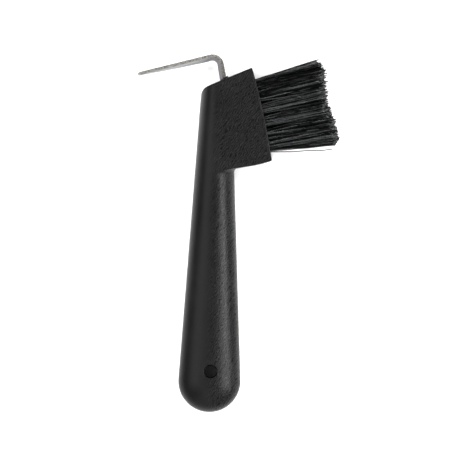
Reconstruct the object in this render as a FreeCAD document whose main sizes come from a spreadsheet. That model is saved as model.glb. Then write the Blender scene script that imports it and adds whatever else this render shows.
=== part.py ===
"""Hoof pick: a moulded plastic handle with a brush head, a bent steel pick and seventeen bristle tufts.

The pick lies on its side. +Y runs up the grip from the rounded butt to the head, +X points the way
the bristles point, and +Z is square to the flat sides. The origin is the middle of the whole
outline, on the surface that the pick lies on. Every sub-part is drawn in the handle's own frame:
Y is the grip's centre line, the centre of the rounded butt is at zero, and the mid-plane is z = 0.
"""
import FreeCAD
import Part
import math
import os
import Sketcher
from FreeCAD import Placement, Rotation, Vector

SIZES = [
    # The frame: where the centre of the rounded butt lies in the row's frame.
    ("frame_x", -15.02, "butt centre, sideways"),
    ("frame_y", -78.70, "butt centre, lengthways"),
    ("frame_lean", -1.44, "grip against +Y, degrees"),
    # The handle.
    ("thickness", 20.0, "over the flat sides of the head and the crest of the grip"),
    ("butt_radius", 16.5, "rounded butt, in plan"),
    ("taper", 3.11, "each side of the grip against its centre line, degrees"),
    ("hole_radius", 3.5, "hang hole"),
    ("hole_x", 0.45, "hang hole, off the centre line"),
    ("hole_y", 5.3, "hang hole, above the butt centre"),
    ("hole_lip", 0.4, "rounding of the hang hole's rims"),
    # The brush head, in plan.
    ("heel_y", 111.3, "underside of the head, on the centre line"),
    ("heel_x", 21.95, "where the underside starts to curve"),
    ("heel_rise", 115.4, "underside of the head, where it starts to curve"),
    ("toe_curve", 60.0, "radius of the curved end of the underside"),
    ("toe_x", 30.3, "lower corner of the tuft face"),
    ("toe_y", 118.0, "lower corner of the tuft face"),
    ("crown_x", 18.5, "upper corner of the tuft face"),
    ("crown_y", 167.1, "upper corner of the tuft face"),
    ("face_curve", 383.0, "radius of the gently crowned tuft face"),
    ("top_slope", 24.0, "top of the head, degrees"),
    ("brow_radius", 6.0, "rounding from the spine to the top of the head"),
    ("throat_radius", 2.0, "where the grip runs into the underside of the head"),
    ("edge_radius", 0.6, "outer edges of the head"),
    # The steel pick.
    ("bar_width", 3.5, "hexagon bar, across flats"),
    ("bar_gap", 0.03, "room round the bar in its socket"),
    ("exit_x", 3.28, "where the bar leaves the head"),
    ("exit_y", 160.7, "where the bar leaves the head"),
    ("shank_lean", 10.94, "shank against the centre line, degrees"),
    ("shank_rise", 12.73, "shank, from the exit to the corner of the bend"),
    ("shank_depth", 30.0, "shank buried in the head"),
    ("bend_radius", 4.3, "bend, on the bar's centre line"),
    ("arm_drop", 15.2, "arm below square to the centre line, degrees"),
    ("arm_length", 44.3, "arm, from the corner of the bend to the tip"),
    ("grind_start", 11.0, "where the ground inner side starts, from the corner of the bend"),
    ("grind_middle", 26.0, "where the grind eases, from the corner of the bend"),
    ("middle_width", 3.02, "what the grind leaves at its middle"),
    ("tip_width", 2.25, "what the grind leaves at the tip"),
    ("bevel_length", 2.6, "bevel at the tip"),
    ("bevel_drop", 0.35, "bevel at the tip"),
    ("collar_radius", 2.7, "moulded lip round the bar"),
    ("collar_lean", 35.4, "top of the lip against square to the centre line, degrees"),
    ("collar_shift", 0.3, "lip, off the bar's centre"),
    ("collar_rise", 0.35, "lip above the head"),
    # The bristles.
    ("tuft_pitch", 6.8, "between the tufts of a row, along the face"),
    ("field_shift", -0.7, "middle of the tufts, up the face from the face's middle"),
    ("row_gap", 5.5, "between the rows"),
    ("row_splay", 2.0, "outer rows against the middle row, degrees"),
    ("tuft_hole", 2.85, "radius of a tuft hole"),
    ("hole_depth", 12.0, "tuft hole"),
    ("tuft_root", 2.8, "radius of a tuft in its hole"),
    ("tuft_tip", 3.2, "radius of a tuft at its tips"),
    ("trim_length", 33.5, "bristles out of the face, at its middle"),
    ("trim_hollow", 0.145, "lengthening for each millimetre from there, up and down the face"),
    ("anchor_height", 2.0, "flat wire anchor, along its hole"),
    ("anchor_width", 6.1, "flat wire anchor, across its hole and into both walls"),
    ("anchor_wire", 0.5, "flat wire anchor, thickness"),
    ("anchor_room", 0.2, "left over above and below each anchor together"),
]
# Tufts in each outer row and in the middle row.
OUTER_TUFTS = 6
MIDDLE_TUFTS = 5
# Construction values, in millimetres unless degrees are named. None of them shows on the part.
SPINE_TOP = 180.0  # the spine is made this long, then cut off by the brow
CLEAR = 20.0  # how far a cutting outline or a level keeps away from what it mustn't touch
TOP_REACH = 60.0  # from the brow past the crown, along the top of the head
THROUGH = 80.0  # a cut that goes right through, both sides of the mid-plane together
BROW_RUN_OUT = 8.0  # degrees short of tangent where the brow's arc meets the spine
COLLAR_ROOT = 4.0  # how deep the lip's round starts in the head
SOCKET_RUN = 4.0  # how far above the head the socket's cut starts
HOLE_RUN = 3.0  # how far outside the face a tuft hole's cut starts
PAST_TIP = 5.0  # how far the grinding cut runs past the pick's tip
ANCHOR_LIFT = 0.1  # air below an anchor
FLUSH = 0.01  # two lengths this close are the same

doc = FreeCAD.newDocument("hoof_pick")


def make_sheet():
    """The driving dimensions, in millimetres and degrees, each with an alias and a note."""
    sheet = doc.addObject("Spreadsheet::Sheet", "Sizes")
    for row, (alias, value, note) in enumerate(SIZES, start=1):
        sheet.set(f"A{row}", alias)
        sheet.set(f"B{row}", str(value))
        sheet.set(f"C{row}", note)
        sheet.setAlias(f"B{row}", alias)
    doc.recompute()
    return sheet


sizes = make_sheet()


def size(alias):
    """A driving dimension, as a number."""
    return float(getattr(sizes, alias))


def direction(angle):
    """The unit vector in the mid-plane at an angle in degrees, counter-clockwise from +X."""
    return Vector(math.cos(math.radians(angle)), math.sin(math.radians(angle)), 0)


def frame_placement():
    """Where the handle's own frame lies: the butt's centre, in the mid-plane, with Y up the grip."""
    centre = Vector(size("frame_x"), size("frame_y"), size("thickness") / 2)
    return Placement(centre, Rotation(Vector(0, 0, 1), size("frame_lean")))


def new_body(label):
    """A body in the handle's frame, with its Placement bound to the sheet."""
    body = doc.addObject("PartDesign::Body", label)
    body.Label = label
    body.Placement = frame_placement()
    body.setExpression("Placement.Base.x", "Sizes.frame_x")
    body.setExpression("Placement.Base.y", "Sizes.frame_y")
    body.setExpression("Placement.Base.z", "Sizes.thickness / 2")
    body.setExpression("Placement.Rotation.Angle", "Sizes.frame_lean")
    return body


def new_sketch(body, role, name, offset=Placement()):
    """A sketch on one of the body's origin planes, moved by offset in that plane's own axes."""
    sketch = body.newObject("Sketcher::SketchObject", name)
    plane = [item for item in body.Origin.OriginFeatures if item.Role == role][0]
    sketch.AttachmentSupport = (plane, [""])
    sketch.MapMode = "FlatFace"
    sketch.AttachmentOffset = offset
    return sketch


def number_of(sketch, value):
    """The value, a number or an expression on the sheet, as a number."""
    if isinstance(value, str):
        value = sketch.evalExpression(value)
    return float(getattr(value, "Value", value))


def pin(sketch, geometry, point, x, y):
    """Fix a point of the sketch at x and y, each a number or an expression on the sheet."""
    for kind, value in (("DistanceX", x), ("DistanceY", y)):
        rule = Sketcher.Constraint(kind, -1, 1, geometry, point, number_of(sketch, value))
        index = sketch.addConstraint(rule)
        if isinstance(value, str):
            sketch.setExpression(f"Constraints[{index}]", value)


def add_radius(sketch, geometry, radius, alias):
    """Give an arc or a circle of the sketch its radius, and bind it to the sheet."""
    index = sketch.addConstraint(Sketcher.Constraint("Radius", geometry, radius))
    sketch.setExpression(f"Constraints[{index}]", alias)


def add_circle(sketch, alias):
    """A circle about the sketch's origin, with the named radius."""
    ring = sketch.addGeometry(Part.Circle(Vector(0, 0, 0), Vector(0, 0, 1), size(alias)), False)
    sketch.addConstraint(Sketcher.Constraint("Coincident", ring, 3, -1, 1))
    add_radius(sketch, ring, size(alias), f"Sizes.{alias}")


def draw_outline(sketch, corners, radii=None):
    """A closed outline through the corners, with an arc of the named radius after a listed corner.

    The radii are aliases by the number of the corner. Each arc bulges to the right of the way that
    the outline runs.
    """
    radii = radii or {}
    points = [Vector(number_of(sketch, x), number_of(sketch, y), 0) for x, y in corners]
    count = len(points)
    edges = []
    for index, start in enumerate(points):
        end = points[(index + 1) % count]
        if index in radii:
            edges.append(arc_between(start, end, size(radii[index])))
        else:
            edges.append(Part.LineSegment(start, end))
    numbers = [sketch.addGeometry(edge, False) for edge in edges]
    ends = []
    for index, edge in enumerate(edges):
        forward = (edge.StartPoint - points[index]).Length < FLUSH
        ends.append((1, 2) if forward else (2, 1))
    for index, number in enumerate(numbers):
        following = (index + 1) % count
        link = (number, ends[index][1], numbers[following], ends[following][0])
        sketch.addConstraint(Sketcher.Constraint("Coincident", *link))
    for index, corner in enumerate(corners):
        pin(sketch, numbers[index], ends[index][0], *corner)
        if index in radii:
            add_radius(sketch, numbers[index], size(radii[index]), f"Sizes.{radii[index]}")


def arc_centre(start, end, radius):
    """The centre of the arc of this radius that bulges to the right of the way from start to end."""
    chord = end - start
    outward = Vector(chord.y, -chord.x, 0).normalize()
    to_chord = math.sqrt(radius ** 2 - (chord.Length / 2) ** 2)
    return (start + end) / 2 - outward * to_chord


def arc_between(start, end, radius):
    """The short arc from start to end that bulges to the right of the way between them."""
    centre = arc_centre(start, end, radius)
    middle = centre + ((start + end) / 2 - centre).normalize() * radius
    return Part.Arc(start, middle, end)


def face_centre():
    """The centre of the tuft face's arc."""
    toe = Vector(size("toe_x"), size("toe_y"), 0)
    crown = Vector(size("crown_x"), size("crown_y"), 0)
    return arc_centre(toe, crown, size("face_curve"))


def face_angle(along):
    """The direction, in degrees, square to the tuft face at a distance along it from its middle."""
    toe = Vector(size("toe_x"), size("toe_y"), 0)
    crown = Vector(size("crown_x"), size("crown_y"), 0)
    middle = (toe + crown) / 2 - face_centre()
    return math.degrees(math.atan2(middle.y, middle.x) + along / size("face_curve"))


def edges_where(feature, test):
    """The names of the feature's edges whose middle point passes the test."""
    names = []
    for number, edge in enumerate(feature.Shape.Edges, start=1):
        middle = edge.valueAt((edge.FirstParameter + edge.LastParameter) / 2)
        if test(middle, edge):
            names.append(f"Edge{number}")
    return names


def oval(half_width, half_height, along):
    """A closed oval across the grip, as a right and a left half that meet on the crest lines."""
    up = Vector(0, 0, 1)
    side = Vector(1, 0, 0)
    centre = Vector(0, along, 0)
    halves = []
    for sign in (1, -1):
        points = (
            centre - up * half_height * sign,
            centre + side * half_width * sign,
            centre + up * half_height * sign,
        )
        if half_width >= half_height:
            curve = Part.Ellipse(points[1], points[2], centre)
        else:
            curve = Part.Ellipse(points[2], points[1], centre)
        first = curve.parameter(points[0])
        last = curve.parameter(points[2])
        arc = Part.ArcOfEllipse(curve, first, last)
        middle = arc.value((arc.FirstParameter + arc.LastParameter) / 2)
        if (middle - points[1]).Length > FLUSH:
            arc = Part.ArcOfEllipse(curve, last, first)
        halves.append(arc.toShape())
    return Part.Wire(halves)


def half_width_at(along):
    """Half the grip's width at a distance up its centre line."""
    slope = math.radians(size("taper"))
    return size("butt_radius") / math.cos(slope) - along * math.tan(slope)


def make_grip_core():
    """The tapering oval bar of the grip and spine, with the rounded butt.

    Both sides of the bar are tangent to the butt, so the oval section where they meet is the butt's
    own section there.
    """
    slope = math.radians(size("taper"))
    join = size("butt_radius") * math.sin(slope)
    half = size("thickness") / 2
    level = size("heel_y") - CLEAR
    lower = oval(half_width_at(join), half * math.cos(slope), join)
    middle = oval(half_width_at(level), half, level)
    upper = oval(half_width_at(SPINE_TOP), half, SPINE_TOP)
    bar = Part.makeLoft([lower, middle, upper], True, True)
    ball = Part.makeSphere(1.0)
    stretch = FreeCAD.Matrix()
    stretch.scale(size("butt_radius"), size("butt_radius"), half)
    butt = ball.transformGeometry(stretch)
    reach = size("butt_radius") * 2
    keep = Part.makeBox(reach * 2, reach, reach * 2, Vector(-reach, join - reach, -reach))
    butt = butt.common(keep)
    core = doc.addObject("Part::Feature", "grip_core")
    core.Shape = butt.fuse(bar).removeSplitter()
    return core


def make_head(body):
    """The flat-sided brush head, right of the grip's centre line."""
    sketch = new_sketch(body, "XY_Plane", "head_outline")
    brow_y = "Sizes.crown_y - Sizes.crown_x * tan(Sizes.top_slope * 1 deg)"
    corners = [
        (0, "Sizes.heel_y"),
        ("Sizes.heel_x", "Sizes.heel_rise"),
        ("Sizes.toe_x", "Sizes.toe_y"),
        ("Sizes.crown_x", "Sizes.crown_y"),
        (0, brow_y),
    ]
    draw_outline(sketch, corners, {1: "toe_curve", 2: "face_curve"})
    pad = body.newObject("PartDesign::Pad", "head")
    pad.Profile = sketch
    pad.Midplane = True
    pad.setExpression("Length", "Sizes.thickness")
    doc.recompute()
    return pad


def brow_corners():
    """The outline cut away above the head, and the arc that rounds the spine into the sloping top.

    The arc is tangent to the top and crosses the spine's side line at a few degrees.
    """
    slope = size("top_slope")
    taper = size("taper")
    radius = size("brow_radius")
    down = direction(slope - 90)
    inward = direction(-taper)
    on_top = Vector(0, size("crown_y") - size("crown_x") * math.tan(math.radians(slope)), 0)
    on_spine = Vector(-half_width_at(0), 0, 0)
    reach_top = on_top.dot(down) + radius
    reach_spine = on_spine.dot(inward) + radius * math.cos(math.radians(BROW_RUN_OUT))
    scale = down.x * inward.y - down.y * inward.x
    centre = Vector(
        (reach_top * inward.y - reach_spine * down.y) / scale,
        (reach_spine * down.x - reach_top * inward.x) / scale,
        0,
    )
    start = centre - down * radius
    leaving = 180 - taper - BROW_RUN_OUT
    end = centre + direction(leaving) * radius
    below = end + direction(leaving + 90) * CLEAR
    right = start + direction(slope) * TOP_REACH
    left_x = below.x - CLEAR
    return [
        (right.x, right.y),
        (start.x, start.y),
        (end.x, end.y),
        (below.x, below.y),
        (left_x, below.y),
        (left_x, SPINE_TOP + CLEAR),
        (right.x, SPINE_TOP + CLEAR),
    ]


def cut_through(body, sketch, name):
    """A pocket from the sketch, right through the body on both sides of its plane."""
    before = body.Shape.Volume
    pocket = body.newObject("PartDesign::Pocket", name)
    pocket.Profile = sketch
    pocket.Midplane = True
    pocket.Length = THROUGH
    doc.recompute()
    if pocket.Shape.Volume >= before:
        raise RuntimeError(f"{name} cuts nothing")
    return pocket


def make_brow(body):
    """Cut the spine level with the sloping top of the head and round the corner at its back."""
    sketch = new_sketch(body, "XY_Plane", "brow_outline")
    draw_outline(sketch, brow_corners(), {1: "brow_radius"})
    return cut_through(body, sketch, "brow")


def shank_point(along):
    """A point on the shank's centre line, at a distance up it from where it leaves the head."""
    return Vector(size("exit_x"), size("exit_y"), 0) + direction(90 + size("shank_lean")) * along


def standing_at(point, lean):
    """The offset that stands an XZ sketch at a point, square to a line leaning to the left."""
    return Placement(Vector(point.x, 0, -point.y), Rotation(Vector(0, 1, 0), lean))


def make_collar(body):
    """The moulded lip round the bar, where it leaves the head."""
    top = size("top_slope")
    shift = direction(top) * size("collar_shift")
    rise = direction(top + 90) * size("collar_rise")
    offset = standing_at(shank_point(0) + shift + rise, size("collar_lean"))
    sketch = new_sketch(body, "XZ_Plane", "collar_outline", offset)
    add_circle(sketch, "collar_radius")
    pad = body.newObject("PartDesign::Pad", "collar")
    pad.Profile = sketch
    pad.Length = COLLAR_ROOT
    doc.recompute()
    return pad


def round_edges(body, base, name, radius, test):
    """Round the edges of the base feature that pass the test, by the named radius."""
    fillet = body.newObject("PartDesign::Fillet", name)
    fillet.Base = (base, edges_where(base, test))
    fillet.setExpression("Radius", f"Sizes.{radius}")
    doc.recompute()
    return fillet


def round_head(body, base):
    """Round the corner where the grip runs into the head, then the head's outer edges."""
    half = size("thickness") / 2
    level = size("heel_y") - CLEAR

    def in_throat(middle, edge):
        flat = abs(middle.z) < FLUSH and middle.x > 0
        return flat and level < middle.y < size("toe_y") and edge.Length > size("thickness") + FLUSH

    def on_outline(middle, edge):
        if middle.y < level + FLUSH or edge.Length > 2 * size("crown_x") + CLEAR:
            return False
        rim = abs(abs(middle.z) - half) < FLUSH and middle.x > FLUSH
        corner = abs(middle.z) < FLUSH and edge.Length > size("thickness") - FLUSH
        tip = corner and middle.x > size("crown_x") - FLUSH and abs(middle.x - size("heel_x")) > FLUSH
        brow = middle.x < -FLUSH and middle.y > size("heel_y") + CLEAR
        flat_seam = brow and abs(middle.z) < FLUSH and edge.Length < size("thickness")
        return rim or tip or (brow and not flat_seam)

    throat = round_edges(body, base, "throat_rounding", "throat_radius", in_throat)
    return round_edges(body, throat, "head_rounding", "edge_radius", on_outline)


def draw_hexagon(sketch, width, expression):
    """A hexagon about the sketch's origin, with a corner straight up.

    The width is across flats, and the expression gives the same width from the sheet.
    """
    corner = width / math.sqrt(3)
    points = [direction(90 + 60 * turn) * corner for turn in range(6)]
    circle = sketch.addGeometry(Part.Circle(Vector(0, 0, 0), Vector(0, 0, 1), corner), True)
    sketch.addConstraint(Sketcher.Constraint("Coincident", circle, 3, -1, 1))
    sides = []
    for start, end in zip(points, points[1:] + points[:1]):
        sides.append(sketch.addGeometry(Part.LineSegment(start, end), False))
    for side, following in zip(sides, sides[1:] + sides[:1]):
        sketch.addConstraint(Sketcher.Constraint("Coincident", side, 2, following, 1))
        sketch.addConstraint(Sketcher.Constraint("PointOnObject", side, 1, circle))
    for side in sides[1:]:
        sketch.addConstraint(Sketcher.Constraint("Equal", sides[0], side))
    sketch.addConstraint(Sketcher.Constraint("PointOnObject", sides[0], 1, -2))
    add_radius(sketch, circle, corner, f"({expression}) / sqrt(3)")


def cut_socket(body):
    """The hexagonal socket that the moulding forms round the shank."""
    offset = standing_at(shank_point(SOCKET_RUN), size("shank_lean"))
    sketch = new_sketch(body, "XZ_Plane", "socket_outline", offset)
    width = size("bar_width") + 2 * size("bar_gap")
    draw_hexagon(sketch, width, "Sizes.bar_width + 2 * Sizes.bar_gap")
    before = body.Shape.Volume
    pocket = body.newObject("PartDesign::Pocket", "socket")
    pocket.Profile = sketch
    pocket.Length = SOCKET_RUN + size("shank_depth") + size("bar_gap")
    pocket.Reversed = True
    doc.recompute()
    if pocket.Shape.Volume >= before:
        raise RuntimeError("the socket cuts nothing")


def tuft_rows():
    """The rows of tufts, as a name, a count, a height over the mid-plane and a splay in degrees."""
    gap = size("row_gap")
    splay = size("row_splay")
    return [
        ("upper", OUTER_TUFTS, gap, splay),
        ("middle", MIDDLE_TUFTS, 0.0, 0.0),
        ("lower", OUTER_TUFTS, -gap, -splay),
    ]


def tuft_along(index, count):
    """Where the tuft of this index in a row of count stands, up the face from its middle."""
    return size("field_shift") + (index - (count - 1) / 2) * size("tuft_pitch")


def cut_tuft_holes(body):
    """The blind tuft holes: one hole for each row, patterned about the centre of the face's arc."""
    pivot = new_sketch(body, "XY_Plane", "face_pivot", Placement(face_centre(), Rotation()))
    pivot.addGeometry(Part.Point(Vector(0, 0, 0)), True)
    for name, count, height, splay in tuft_rows():
        angle = face_angle(tuft_along(0, count))
        tilt = Rotation(Vector(0, 1, 0), angle).multiply(Rotation(Vector(1, 0, 0), -splay))
        rise = math.radians(splay)
        outward = direction(angle) * math.cos(rise) + Vector(0, 0, math.sin(rise))
        on_face = face_centre() + direction(angle) * size("face_curve") + Vector(0, 0, height)
        start = on_face + outward * HOLE_RUN
        offset = Placement(Vector(start.y, start.z, start.x), tilt)
        sketch = new_sketch(body, "YZ_Plane", f"{name}_hole_outline", offset)
        add_circle(sketch, "tuft_hole")
        before = body.Shape.Volume
        pocket = body.newObject("PartDesign::Pocket", f"{name}_hole")
        pocket.Profile = sketch
        pocket.setExpression("Length", f"Sizes.hole_depth + {HOLE_RUN}")
        doc.recompute()
        one = before - pocket.Shape.Volume
        pattern = body.newObject("PartDesign::PolarPattern", f"{name}_holes")
        pattern.Originals = [pocket]
        pattern.Axis = (pivot, ["N_Axis"])
        pattern.Angle = math.degrees((count - 1) * size("tuft_pitch") / size("face_curve"))
        pattern.Occurrences = count
        body.Tip = pattern
        doc.recompute()
        removed = before - pattern.Shape.Volume
        if one <= 0 or round(removed / one) != count:
            raise RuntimeError(f"the {name} row of holes is short of cuts")


def cut_hang_hole(body):
    """The hang hole through the butt, with both rims slightly rounded."""
    sketch = new_sketch(body, "XY_Plane", "hang_hole_outline")
    centre = Vector(size("hole_x"), size("hole_y"), 0)
    ring = sketch.addGeometry(Part.Circle(centre, Vector(0, 0, 1), size("hole_radius")), False)
    pin(sketch, ring, 3, "Sizes.hole_x", "Sizes.hole_y")
    add_radius(sketch, ring, size("hole_radius"), "Sizes.hole_radius")
    hole = cut_through(body, sketch, "hang_hole")

    def on_rim(middle, edge):
        away = math.hypot(middle.x - size("hole_x"), middle.y - size("hole_y"))
        return abs(away - size("hole_radius")) < FLUSH and abs(middle.z) > size("thickness") / 4

    round_edges(body, hole, "hang_hole_lips", "hole_lip", on_rim)


def make_handle():
    """The moulded handle: grip, head, lip, socket, tuft holes and hang hole in one piece."""
    body = new_body("handle")
    body.BaseFeature = make_grip_core()
    doc.recompute()
    make_head(body)
    make_brow(body)
    collar = make_collar(body)
    round_head(body, collar)
    cut_socket(body)
    cut_tuft_holes(body)
    cut_hang_hole(body)
    return body


def make_pick():
    """The steel pick: hexagon bar bent over at the end, ground thinner on its inner side."""
    body = new_body("pick")
    foot = shank_point(-size("shank_depth"))
    corner = shank_point(size("shank_rise"))
    arm = direction(180 + size("arm_drop"))
    turn = math.radians(90 + size("arm_drop") - size("shank_lean"))
    cut_back = size("bend_radius") * math.tan(turn / 2)
    bend_start = shank_point(size("shank_rise") - cut_back)
    bend_end = corner + arm * cut_back
    tip = corner + arm * size("arm_length")
    path = new_sketch(body, "XY_Plane", "bar_path")
    shank_line = path.addGeometry(Part.LineSegment(foot, bend_start), False)
    bend = path.addGeometry(arc_between(bend_start, bend_end, size("bend_radius")), False)
    arm_line = path.addGeometry(Part.LineSegment(bend_end, tip), False)
    starts_near = (path.Geometry[bend].StartPoint - bend_start).Length < FLUSH
    near, far = (1, 2) if starts_near else (2, 1)
    path.addConstraint(Sketcher.Constraint("Coincident", shank_line, 2, bend, near))
    path.addConstraint(Sketcher.Constraint("Coincident", bend, far, arm_line, 1))
    pin(path, shank_line, 1, foot.x, foot.y)
    pin(path, shank_line, 2, bend_start.x, bend_start.y)
    pin(path, arm_line, 1, bend_end.x, bend_end.y)
    pin(path, arm_line, 2, tip.x, tip.y)
    add_radius(path, bend, size("bend_radius"), "Sizes.bend_radius")
    section = new_sketch(body, "XZ_Plane", "bar_section", standing_at(foot, size("shank_lean")))
    draw_hexagon(section, size("bar_width"), "Sizes.bar_width")
    doc.recompute()
    bar = body.newObject("PartDesign::AdditivePipe", "bar")
    bar.Profile = section
    bar.Spine = (path, ["Edge1", "Edge2", "Edge3"])
    doc.recompute()
    grind_pick(body, corner, arm)
    return body


def grind_pick(body, corner, arm):
    """Grind the arm's inner side to a long taper in two passes, and bevel the tip."""
    outward = Vector(arm.y, -arm.x, 0)
    edge = size("bar_width") / 2

    def along(distance, from_outer):
        point = corner + arm * distance + outward * (edge - from_outer)
        return (point.x, point.y)

    past = size("arm_length") + PAST_TIP
    ease = (size("middle_width") - size("tip_width")) / (size("arm_length") - size("grind_middle"))
    inner = [
        along(size("grind_start"), size("bar_width")),
        along(size("grind_middle"), size("middle_width")),
        along(past, size("tip_width") - ease * PAST_TIP),
        along(past, size("bar_width") * 2),
        along(size("grind_start"), size("bar_width") * 2),
    ]
    sketch = new_sketch(body, "XY_Plane", "grind_outline")
    draw_outline(sketch, inner)
    cut_through(body, sketch, "grind")
    bevel = [
        along(size("arm_length") - size("bevel_length"), 0),
        along(size("arm_length") - size("bevel_length"), -edge),
        along(size("arm_length") + size("bevel_length"), -edge),
        along(size("arm_length") + size("bevel_length"), 2 * size("bevel_drop")),
    ]
    sketch = new_sketch(body, "XY_Plane", "bevel_outline")
    draw_outline(sketch, bevel)
    cut_through(body, sketch, "bevel")


def trim_at(along):
    """How far the bristles stand out of the face, at a distance up it from its middle."""
    return size("trim_length") + size("trim_hollow") * abs(along)


def tuft_placement(along, height, splay):
    """A tuft's Placement: its own X runs out of its hole, and its origin is on the face."""
    angle = face_angle(along)
    point = face_centre() + direction(angle) * size("face_curve")
    turn = Rotation(Vector(0, 0, 1), angle).multiply(Rotation(Vector(0, 1, 0), -splay))
    return frame_placement().multiply(Placement(Vector(point.x, point.y, height), turn))


def make_tuft(name, along, height, splay):
    """One tuft of bristles as a plain round solid: a plug in its hole that widens to its tips."""
    body = doc.addObject("PartDesign::Body", name)
    body.Label = name
    sketch = new_sketch(body, "XY_Plane", f"{name}_profile")
    foot = "Sizes.anchor_height + Sizes.anchor_room - Sizes.hole_depth"
    corners = [
        (foot, 0),
        (trim_at(along), 0),
        (trim_at(along), "Sizes.tuft_tip"),
        (0, "Sizes.tuft_root"),
        (foot, "Sizes.tuft_root"),
    ]
    draw_outline(sketch, corners)
    turned = body.newObject("PartDesign::Revolution", f"{name}_turned")
    turned.Profile = sketch
    turned.ReferenceAxis = (sketch, ["H_Axis"])
    turned.Angle = 360
    body.Placement = tuft_placement(along, height, splay)
    return body


def make_anchor(name, along, height, splay):
    """One flat wire anchor at the bottom of its hole, biting into the walls along the row."""
    anchor = doc.addObject("Part::Box", name)
    anchor.setExpression("Length", "Sizes.anchor_height")
    anchor.setExpression("Width", "Sizes.anchor_width")
    anchor.setExpression("Height", "Sizes.anchor_wire")
    place = tuft_placement(along, height, splay)
    corner = Vector(-size("hole_depth"), -size("anchor_width") / 2, -size("anchor_wire") / 2)
    anchor.Placement = place.multiply(Placement(corner + Vector(ANCHOR_LIFT, 0, 0), Rotation()))
    return anchor


def make_bristles():
    """All the tufts, each with its anchor; the anchors share one node."""
    tufts = []
    anchors = []
    for row, count, height, splay in tuft_rows():
        for index in range(count):
            along = tuft_along(index, count)
            tufts.append(make_tuft(f"tuft_{row}_{index + 1}", along, height, splay))
            anchors.append(make_anchor(f"anchor_{row}_{index + 1}", along, height, splay))
    group = doc.addObject("Part::Compound", "tuft_anchors")
    group.Label = "tuft_anchors"
    group.Links = anchors
    return tufts + [group]


def check_document():
    """Stop if any object of the document failed."""
    for item in doc.Objects:
        if "Invalid" in item.State or "Error" in item.State:
            raise RuntimeError(f"{item.Name}: {item.State}")


def write_parts(parts):
    """Check every sub-part's shape, then write each to its own STEP file."""
    for part in parts:
        if part.Shape.isNull() or not part.Shape.isValid():
            raise RuntimeError(f"{part.Label} has no valid shape")
    os.makedirs("parts", exist_ok=True)
    for part in parts:
        part.Shape.exportStep(f"parts/{part.Label}.step")
        print(part.Label, len(part.Shape.Solids), round(part.Shape.Volume, 1))


parts = [make_handle(), make_pick()] + make_bristles()
doc.recompute()
check_document()
write_parts(parts)
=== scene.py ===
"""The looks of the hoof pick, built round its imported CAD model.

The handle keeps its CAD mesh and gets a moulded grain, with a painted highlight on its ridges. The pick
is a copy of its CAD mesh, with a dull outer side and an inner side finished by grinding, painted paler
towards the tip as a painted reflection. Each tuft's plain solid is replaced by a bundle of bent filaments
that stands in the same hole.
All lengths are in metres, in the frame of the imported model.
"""
import math
import random

import bpy
import numpy as np
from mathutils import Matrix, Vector


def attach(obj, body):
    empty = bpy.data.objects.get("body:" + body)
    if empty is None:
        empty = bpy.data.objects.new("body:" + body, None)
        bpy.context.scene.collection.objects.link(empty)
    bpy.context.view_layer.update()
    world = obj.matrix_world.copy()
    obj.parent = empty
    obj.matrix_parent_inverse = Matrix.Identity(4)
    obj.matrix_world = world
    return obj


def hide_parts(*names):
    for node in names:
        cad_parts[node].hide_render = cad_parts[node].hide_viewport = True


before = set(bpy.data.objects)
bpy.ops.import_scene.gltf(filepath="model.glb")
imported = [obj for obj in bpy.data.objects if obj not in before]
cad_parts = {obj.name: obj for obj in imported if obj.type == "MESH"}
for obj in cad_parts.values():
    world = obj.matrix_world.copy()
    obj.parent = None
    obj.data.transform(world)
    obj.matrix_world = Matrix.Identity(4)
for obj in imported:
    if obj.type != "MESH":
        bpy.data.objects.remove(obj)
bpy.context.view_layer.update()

MM = 0.001
SEED = 19

# The camera looks straight down through a long lens, at a point beside the middle of the outline.
CAMERA_LENS = 400.0
CAMERA_SENSOR = 36.0
CAMERA_SPAN = 244.7 * MM
CAMERA_AIM = Vector((-4.04 * MM, 1.67 * MM, 10 * MM))

# The grip's centre line in the CAD frame: the butt's centre, and the lean against +Y.
BUTT = Vector((-15.02 * MM, -78.7 * MM, 0))
GRIP_LEAN = math.radians(-1.44)
# The slant of the leather grain, and the strip along the centre line over which the grain and its painted
# highlight set in.
GRAIN_SLANT = math.radians(55)
GRAIN_STRIP = 7 * MM

# A point well inside the bend of the pick. The faces that look towards it are its inner side.
INSIDE = Vector((-35 * MM, 70 * MM, 10 * MM))
# The inner side's value at the shank, which sets how pale it is painted there, a painted reflection. It
# is 1 at the tip, and 0 all over the outer side.
SHANK_PAINTED_REFLECTION = 0.3

# One filament. It starts this far down in its hole.
FILAMENT_RADIUS = 0.31 * MM
FILAMENT_SIDES = 6
FILAMENT_STEPS = 16
IN_HOLE = 4 * MM
# One tuft: its filaments, the clumps that they gather in, and its hole's mouth, up from its foot.
FILAMENTS = 70
CLUMPS = 9
MOUTH = 9.8 * MM
# Roots and clumps are shaken out of their even pattern by up to this much.
SHAKE = 0.12 * MM
# The tips flare this many times wider than the CAD tuft's, and this much wider again across the brush.
SPLAY = 1.3
SPREAD = 1.15
# The top tufts are trimmed on the slant: this much shorter for each unit that a tip is further up.
TOP_CUT = 0.6
# One pale filament strays this far below its tuft, and is this much shorter than the rest.
STRAY_TUFT = "tuft_upper_1"
STRAY_DROP = 2.8 * MM
STRAY_SHORT = 3.5 * MM
STRAY_SHADE = 2.0


def new_material(name):
    """A node material, its node tree and its shader."""
    material = bpy.data.materials.new(name)
    material.use_nodes = True
    tree = material.node_tree
    shader = tree.nodes["Principled BSDF"]
    return material, tree, shader


def add_node(tree, kind, **values):
    """A node of this kind. A value's name is a property's, or an input socket's with _ for a space."""
    node = tree.nodes.new(kind)
    for key, value in values.items():
        if hasattr(node, key):
            setattr(node, key, value)
        else:
            node.inputs[key.replace("_", " ")].default_value = value
    return node


def feed(tree, source, node, socket):
    """Link a source to a node's input socket."""
    tree.links.new(source, node.inputs[socket])


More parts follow.
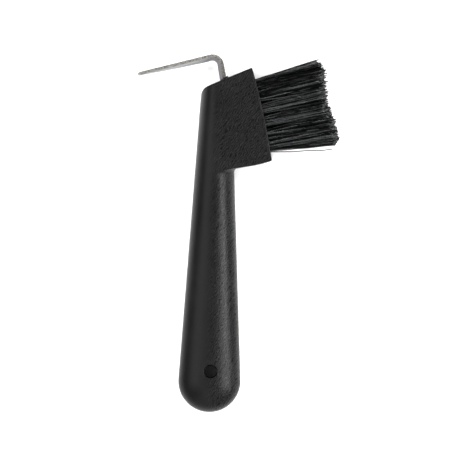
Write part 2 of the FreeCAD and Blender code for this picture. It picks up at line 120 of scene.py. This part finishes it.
def add_math(tree, operation, first, second):
    """One step of arithmetic on sockets or numbers."""
    node = add_node(tree, "ShaderNodeMath", operation=operation)
    for index, value in enumerate((first, second)):
        if isinstance(value, (int, float)):
            node.inputs[index].default_value = value
        else:
            feed(tree, value, node, index)
    return node.outputs[0]


def weigh(tree, first, share, second):
    """The first value times its share, plus the second times the rest."""
    left = add_math(tree, "MULTIPLY", first, share)
    return add_math(tree, "ADD", left, add_math(tree, "MULTIPLY", second, 1 - share))


def add_ramp(tree, source, stops):
    """A colour ramp on a 0 to 1 value. Each stop is a place and a colour or a grey value."""
    ramp = add_node(tree, "ShaderNodeValToRGB")
    points = ramp.color_ramp.elements
    while len(points) < len(stops):
        points.new(0.5)
    for point, (place, colour) in zip(points, stops):
        if isinstance(colour, float):
            colour = (colour, colour, colour)
        point.position = place
        point.color = (*colour, 1.0)
    feed(tree, source, ramp, "Fac")
    return ramp.outputs["Color"]


def mix_colours(tree, factor, first, second):
    """The first colour where the factor is 0, and the second where it is 1."""
    mix = add_node(tree, "ShaderNodeMix", data_type="RGBA")
    feed(tree, factor, mix, "Factor")
    # The node has an A, a B and a Result for each data type. These are the ones for colours.
    feed(tree, first, mix, 6)
    feed(tree, second, mix, 7)
    return mix.outputs[2]


def add_attribute(tree, name):
    """A value that the mesh carries under this name."""
    return add_node(tree, "ShaderNodeAttribute", attribute_name=name).outputs["Fac"]


def object_place(tree, size, turn=0.0, start=(0, 0, 0)):
    """Places on the object, from a start, in units of a size along each axis, after a turn about Z."""
    coordinates = add_node(tree, "ShaderNodeTexCoord")
    mapping = add_node(tree, "ShaderNodeMapping", vector_type="TEXTURE")
    mapping.inputs["Location"].default_value = start
    mapping.inputs["Rotation"].default_value = (0, 0, turn)
    mapping.inputs["Scale"].default_value = size
    feed(tree, coordinates.outputs["Object"], mapping, "Vector")
    return mapping.outputs["Vector"]


def add_noise(tree, size, detail=2.0, distortion=0.0, turn=0.0):
    """Fractal noise with features of this size, a length or a length along each axis."""
    if isinstance(size, float):
        size = (size, size, size)
    node = add_node(tree, "ShaderNodeTexNoise", Scale=1.0, Detail=detail, Distortion=distortion)
    feed(tree, object_place(tree, size, turn), node, "Vector")
    return node.outputs["Fac"]


def right_of_centre(tree, strip):
    """0 left of the grip's centre line, 1 right of it, changing over a strip this wide."""
    parts = add_node(tree, "ShaderNodeSeparateXYZ")
    feed(tree, object_place(tree, (strip, strip, strip), GRIP_LEAN, BUTT), parts, "Vector")
    across = add_math(tree, "ADD", parts.outputs["X"], 0.5)
    return add_ramp(tree, across, [(0.0, 0.0), (1.0, 1.0)])


def add_bump(tree, shader, height, distance):
    """Relief from a height between 0 and 1, this deep in metres."""
    bump = add_node(tree, "ShaderNodeBump", Strength=1.0, Distance=distance)
    feed(tree, height, bump, "Height")
    feed(tree, bump.outputs["Normal"], shader, "Normal")


def plastic_material():
    """Black moulded plastic with a fine leather grain, drawn only right of the centre line, the side that
    the light from the right falls on: there it has its relief and a painted highlight on its ridges, and
    left of it the plastic is drawn smooth.
    """
    material, tree, shader = new_material("black_grained_plastic")
    ridges = add_node(
        tree,
        "ShaderNodeTexWave",
        wave_type="BANDS",
        bands_direction="Y",
        wave_profile="SIN",
        Scale=1.0,
        Distortion=9.0,
        Detail=1.0,
        Detail_Scale=1.6,
        Detail_Roughness=0.6,
    )
    feed(tree, object_place(tree, (3.4 * MM, 3.4 * MM, 3.4 * MM), GRAIN_SLANT), ridges, "Vector")
    breaks = add_noise(tree, (1.8 * MM, 1.0 * MM, 1.2 * MM), distortion=0.5, turn=GRAIN_SLANT)
    grain = weigh(tree, ridges.outputs["Fac"], 0.55, breaks)
    # The smooth side is halfway between the grain's ridges and its valleys.
    relief = add_math(tree, "SUBTRACT", grain, 0.5)
    # The grain and its painted highlight are kept right of the centre line, on the side that the light
    # from the right falls on.
    relief = add_math(tree, "MULTIPLY", relief, right_of_centre(tree, GRAIN_STRIP))
    grain_and_painted_highlight = add_math(tree, "ADD", relief, 0.5)
    fine = add_noise(tree, 0.3 * MM)
    add_bump(tree, shader, weigh(tree, grain_and_painted_highlight, 0.93, fine), 0.05 * MM)
    # Ridges are painted paler than valleys, a painted highlight on the grain, and are glossier; wear
    # changes both slowly over the surface.
    wear = add_noise(tree, 22 * MM, detail=3.0)
    speckled = add_math(tree, "ADD", grain_and_painted_highlight, add_math(tree, "MULTIPLY", fine, 0.1))
    tone = weigh(tree, wear, 0.2, speckled)
    colour = add_ramp(tree, tone, [(0.34, 0.0012), (0.74, (0.0105, 0.0105, 0.0108))])
    feed(tree, colour, shader, "Base Color")
    gloss = add_ramp(tree, tone, [(0.34, 0.095), (0.54, 0.147), (0.74, 0.198)])
    feed(tree, gloss, shader, "Specular IOR Level")
    feed(tree, add_ramp(tree, wear, [(0.3, 0.35), (0.7, 0.42)]), shader, "Roughness")
    return material


def steel_material():
    """Hexagon steel: dull speckled scale outside, and cooler steel inside, finished by grinding and
    painted paler towards the tip as a painted reflection.
    """
    material, tree, shader = new_material("drawn_steel")
    speckle = add_noise(tree, 0.8 * MM, detail=3.0)
    tone = weigh(tree, speckle, 0.8, add_noise(tree, 3 * MM, detail=3.0))
    scale = add_ramp(tree, tone, [(0.35, (0.17, 0.162, 0.15)), (0.65, (0.66, 0.64, 0.6))])
    ground_and_painted_reflection = add_attribute(tree, "ground_and_painted_reflection")
    # The inner side's colour is painted paler towards the tip, a painted reflection, and is cooler than
    # the scale outside.
    cut_and_painted_reflection = add_ramp(tree, ground_and_painted_reflection, [(0.35, (0.21, 0.195, 0.21)), (1.0, (0.95, 0.97, 1.0))])
    inside = add_math(tree, "GREATER_THAN", ground_and_painted_reflection, 0.1)
    feed(tree, mix_colours(tree, inside, scale, cut_and_painted_reflection), shader, "Base Color")
    feed(tree, add_ramp(tree, tone, [(0.3, 0.55), (0.7, 0.4)]), shader, "Roughness")
    scratches = add_noise(tree, (4 * MM, 0.2 * MM, 0.2 * MM), detail=3.0)
    add_bump(tree, shader, weigh(tree, speckle, 0.5, scratches), 0.06 * MM)
    shader.inputs["Metallic"].default_value = 1.0
    return material


def brass_material():
    """Flat drawn brass wire."""
    material, tree, shader = new_material("anchor_brass")
    tarnish = add_noise(tree, 1.1 * MM, detail=3.0)
    colour = add_ramp(tree, tarnish, [(0.3, (0.4, 0.3, 0.14)), (0.7, (0.62, 0.5, 0.26))])
    feed(tree, colour, shader, "Base Color")
    add_bump(tree, shader, tarnish, 0.02 * MM)
    shader.inputs["Metallic"].default_value = 1.0
    shader.inputs["Roughness"].default_value = 0.35
    return material


def bristle_material():
    """Stiff black filament. Each filament has its own shade, from 0 to 0.8, and is scuffed in places.

    The stray filament's shade is far over the others', which makes it pale.
    """
    material, tree, shader = new_material("black_filament")
    shade = add_attribute(tree, "shade")
    scuffs = add_noise(tree, (6 * MM, 0.8 * MM, 0.8 * MM))
    tone = weigh(tree, shade, 0.35, add_math(tree, "MULTIPLY", scuffs, 0.4))
    stops = [(0.1, 0.0008), (0.5, (0.006, 0.007, 0.007)), (0.7, (0.07, 0.07, 0.073))]
    feed(tree, add_ramp(tree, tone, stops), shader, "Base Color")
    feed(tree, add_ramp(tree, scuffs, [(0.3, 0.24), (0.7, 0.34)]), shader, "Roughness")
    gloss = add_ramp(tree, weigh(tree, shade, 0.62, scuffs), [(0.3, 0.02), (0.62, 0.72)])
    feed(tree, gloss, shader, "Specular IOR Level")
    add_bump(tree, shader, scuffs, 0.004 * MM)
    return material


def floor_material():
    """Plain white card."""
    material, tree, shader = new_material("white_card")
    feed(tree, add_ramp(tree, add_noise(tree, 1.1 * MM), [(0.0, 0.9), (1.0, 0.92)]), shader, "Base Color")
    shader.inputs["Roughness"].default_value = 0.9
    shader.inputs["Specular IOR Level"].default_value = 0.0
    return material


def add_object(name, mesh):
    """An object in the scene with this mesh."""
    item = bpy.data.objects.new(name, mesh)
    bpy.context.scene.collection.objects.link(item)
    return item


def solid_axis(node):
    """The middles of a round solid's two end rings, foot first, and the radius of each."""
    points = np.array([vertex.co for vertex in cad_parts[node].data.vertices])
    axis = np.linalg.svd(points - points.mean(0), full_matrices=False)[2][0]
    axis = axis * math.copysign(1.0, axis[0])
    along = points @ axis
    ring_depth = 0.5 * MM
    ends = []
    for ring in (points[along < along.min() + ring_depth], points[along > along.max() - ring_depth]):
        middle = (ring.min(0) + ring.max(0)) / 2
        ends.append((middle, np.linalg.norm(ring - middle, axis=1).max()))
    return ends


def disc_points(count, radius, rng):
    """Points spread evenly over a disc, a little shaken."""
    golden = math.pi * (3 - math.sqrt(5))
    points = []
    for index in range(count):
        reach = radius * math.sqrt((index + 0.5) / count)
        angle = index * golden
        points.append((
            reach * math.cos(angle) + rng.uniform(-SHAKE, SHAKE),
            reach * math.sin(angle) + rng.uniform(-SHAKE, SHAKE),
        ))
    return np.array(points)


def filament_line(root, tip, length, rng):
    """A filament's line: how far out it is, and its two sideways offsets, at each step."""
    waves = []
    for _ in range(2):
        size = rng.uniform(0.05, 0.25) * MM
        period = rng.uniform(12, 24) * MM
        phase = rng.uniform(0, 2 * math.pi)
        waves.append((size, period, phase))
    out = np.linspace(-IN_HOLE, length, FILAMENT_STEPS + 1)
    share = np.clip(out / length, 0, 1)
    line = np.zeros((FILAMENT_STEPS + 1, 3))
    line[:, 0] = out
    for axis, (size, period, phase) in enumerate(waves):
        wave = size * np.sin(out / period * 2 * math.pi + phase) * share ** 0.5
        line[:, axis + 1] = root[axis] + (tip[axis] - root[axis]) * share ** 0.8 + wave
    return line


def tube(centres, axes):
    """Vertices and faces of a closed tube of filament through these centres."""
    turns = np.arange(FILAMENT_SIDES) * 2 * math.pi / FILAMENT_SIDES
    ring = FILAMENT_RADIUS * (np.outer(np.cos(turns), axes[1]) + np.outer(np.sin(turns), axes[2]))
    vertices = (centres[:, None, :] + ring[None, :, :]).reshape(-1, 3)
    faces = []
    for step in range(len(centres) - 1):
        for side in range(FILAMENT_SIDES):
            low = step * FILAMENT_SIDES + side
            beside = step * FILAMENT_SIDES + (side + 1) % FILAMENT_SIDES
            faces.append((low, beside, beside + FILAMENT_SIDES, low + FILAMENT_SIDES))
    faces.append(tuple(reversed(range(FILAMENT_SIDES))))
    last = len(vertices) - FILAMENT_SIDES
    faces.append(tuple(range(last, last + FILAMENT_SIDES)))
    return vertices, faces


def tuft_lines(node, length, root_radius, tip_radius, rng):
    """The lines of a tuft's filaments, and each one's shade."""
    roots = disc_points(FILAMENTS, root_radius - FILAMENT_RADIUS, rng)
    clumps = disc_points(CLUMPS, tip_radius * SPLAY * 0.8, rng) * (SPREAD, 1.0)
    clump_lengths = [rng.gauss(-0.4, 0.7) * MM for _ in clumps]
    lines = []
    for index, root in enumerate(roots):
        own = root * tip_radius / root_radius * SPLAY * (SPREAD, 1.0)
        nearest = np.linalg.norm(clumps - own, axis=1).argmin()
        tip = own + (clumps[nearest] - own) * rng.uniform(0.3, 0.9)
        tip = tip + np.array((rng.gauss(0, 0.9), rng.gauss(0, 0.6))) * MM
        own_length = length + clump_lengths[nearest] + rng.gauss(0, 0.8) * MM
        if node.endswith("_6"):
            own_length -= TOP_CUT * max(0, tip[0])
        line = filament_line(root, tip, own_length, rng)
        shade = rng.random() * 0.8
        if node == STRAY_TUFT and index == 0:
            side = (-root_radius, 0)
            below = (-tip_radius * SPLAY - STRAY_DROP, 0)
            line = filament_line(side, below, length - STRAY_SHORT, rng)
            shade = STRAY_SHADE
        lines.append((line, shade))
    return lines


def make_bundle(node, material, rng):
    """A tuft's bundle of filaments, in the place of its CAD solid and above the floor."""
    (foot, root_radius), (tips, tip_radius) = solid_axis(node)
    out = tips - foot
    length = np.linalg.norm(out) - MOUTH
    out = out / np.linalg.norm(out)
    sideways = np.cross(np.array((0.0, 0.0, 1.0)), out)
    sideways = sideways / np.linalg.norm(sideways)
    axes = np.array((out, sideways, np.cross(out, sideways)))
    vertices, faces, shades = [], [], []
    for line, shade in tuft_lines(node, length, root_radius, tip_radius, rng):
        centres = line @ axes + foot + out * MOUTH
        centres[:, 2] = np.maximum(centres[:, 2], 1.1 * FILAMENT_RADIUS)
        made, sides = tube(centres, axes)
        faces.extend(tuple(corner + len(vertices) for corner in face) for face in sides)
        vertices.extend(made)
        shades.extend([shade] * len(made))
    name = node.replace("tuft", "bristles")
    mesh = bpy.data.meshes.new(name)
    mesh.from_pydata(vertices, [], faces)
    mesh.attributes.new("shade", "FLOAT", "POINT").data.foreach_set("value", shades)
    mesh.materials.append(material)
    mesh.shade_smooth()
    bundle = add_object(name, mesh)
    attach(bundle, "root")
    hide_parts(node)
    return bundle


def make_pick(material):
    """The steel pick with its outer and inner sides told apart, from 0 outside to 1 inside at the tip,
    where the inner side's painted reflection is palest.
    """
    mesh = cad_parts["pick"].data.copy()
    mesh.name = "pick_bar"
    low = min(vertex.co.x for vertex in mesh.vertices)
    high = max(vertex.co.x for vertex in mesh.vertices)
    values = []
    for face in mesh.polygons:
        inner = face.normal.dot(INSIDE - face.center) > 0
        along = (high - face.center.x) / (high - low)
        # Inner faces are painted paler the nearer they are to the tip, a painted reflection.
        values.append(SHANK_PAINTED_REFLECTION + (1 - SHANK_PAINTED_REFLECTION) * along if inner else 0.0)
    mesh.attributes.new("ground_and_painted_reflection", "FLOAT", "FACE").data.foreach_set("value", values)
    mesh.materials.clear()
    mesh.materials.append(material)
    bar = add_object("pick_bar", mesh)
    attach(bar, "root")
    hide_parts("pick")
    return bar


def paint(node, material):
    """Give a CAD node that stays visible its material."""
    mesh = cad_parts[node].data
    if not mesh.materials:
        mesh.materials.append(material)
    for index in range(len(mesh.materials)):
        mesh.materials[index] = material


def make_floor(material):
    """A wide flat floor under the object."""
    reach = 3.0
    mesh = bpy.data.meshes.new("floor")
    corners = [(-reach, -reach, 0), (reach, -reach, 0), (reach, reach, 0), (-reach, reach, 0)]
    mesh.from_pydata(corners, [], [(0, 1, 2, 3)])
    mesh.materials.append(material)
    floor = add_object("floor", mesh)
    return floor


def add_area(name, place, size, power):
    """A soft rectangular light that faces the middle of the view."""
    data = bpy.data.lights.new(name, "AREA")
    data.shape = "RECTANGLE"
    data.size, data.size_y = size
    data.energy = power
    light = add_object(name, data)
    light.location = place
    light.rotation_mode = "QUATERNION"
    light.rotation_quaternion = (CAMERA_AIM - Vector(place)).to_track_quat("-Z", "Y")
    return light


def add_ring(name, count, reach, height, side, power):
    """Square lights in a ring round the object, each this far out, this high and this strong."""
    lights = []
    for index in range(count):
        turn = 2 * math.pi * index / count
        place = (reach * math.cos(turn), reach * math.sin(turn), height)
        lights.append(add_area(f"{name}_{index}", place, (side, side), power))
    return lights


def link_light(light, objects, state):
    """Let a light shine on these objects alone (INCLUDE), or on all but these (EXCLUDE)."""
    receivers = bpy.data.collections.new(light.name + "_receivers")
    for item in objects:
        receivers.objects.link(item)
    for entry in receivers.collection_objects:
        entry.light_linking.link_state = state
    light.light_linking.receiver_collection = receivers


def make_room():
    """A pale even light from all sides."""
    world = bpy.data.worlds.new("studio")
    world.use_nodes = True
    background = world.node_tree.nodes["Background"]
    background.inputs["Color"].default_value = (1.0, 1.0, 1.0, 1.0)
    background.inputs["Strength"].default_value = 0.2
    bpy.context.scene.world = world


def make_lights(floor, bar, bundles):
    """A long soft light from the right, a wide one from the left, and weaker ones all round.

    None of them shines on the floor, which has a ring of its own that keeps it white. The light from
    the right misses the steel bar too. Two low lights shine on the bristles alone, to bring them out.
    """
    key = add_area("key", place=(0.93, 0.0, 0.95), size=(1.3, 0.3), power=28.0)
    link_light(key, [floor, bar], "EXCLUDE")
    subject_lights = [
        add_area("fill", place=(-0.7, 0.0, 1.15), size=(1.3, 1.4), power=6.4),
        add_area("back", place=(0.1, 0.8, 1.0), size=(1.2, 0.3), power=2.0),
        add_area("front", place=(-0.2, -1.1, 0.6), size=(1.2, 0.3), power=1.5),
    ]
    subject_lights += add_ring("over", count=4, reach=0.75, height=1.0, side=0.6, power=2.2)
    for light in subject_lights:
        link_light(light, [floor], "EXCLUDE")
    for light in add_ring("floor", count=8, reach=0.75, height=1.2, side=0.45, power=7.8):
        link_light(light, [floor], "INCLUDE")
    brush_lights = [
        add_area("brush_front", place=(-0.1, -1.1, 0.5), size=(0.6, 0.15), power=4.5),
        add_area("brush_back", place=(0.1, 1.1, 0.6), size=(0.6, 0.15), power=8.0),
    ]
    for light in brush_lights:
        light.data.color = (0.85, 1.0, 0.98)
        link_light(light, bundles, "INCLUDE")


def make_camera():
    """A view straight down, with the head at the top."""
    data = bpy.data.cameras.new("camera")
    data.lens = CAMERA_LENS
    data.sensor_width = CAMERA_SENSOR
    camera = add_object("camera", data)
    height = CAMERA_SPAN * CAMERA_LENS / CAMERA_SENSOR
    camera.location = CAMERA_AIM + Vector((0, 0, height))
    bpy.context.scene.camera = camera


bpy.context.scene.view_settings.view_transform = "Standard"
paint("handle", plastic_material())
bar = make_pick(steel_material())
paint("tuft_anchors", brass_material())
filament = bristle_material()
random_source = random.Random(SEED)
tufts = sorted(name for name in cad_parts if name.startswith("tuft_") and name != "tuft_anchors")
bundles = [make_bundle(tuft, filament, random_source) for tuft in tufts]
make_room()
make_lights(make_floor(floor_material()), bar, bundles)
make_camera()
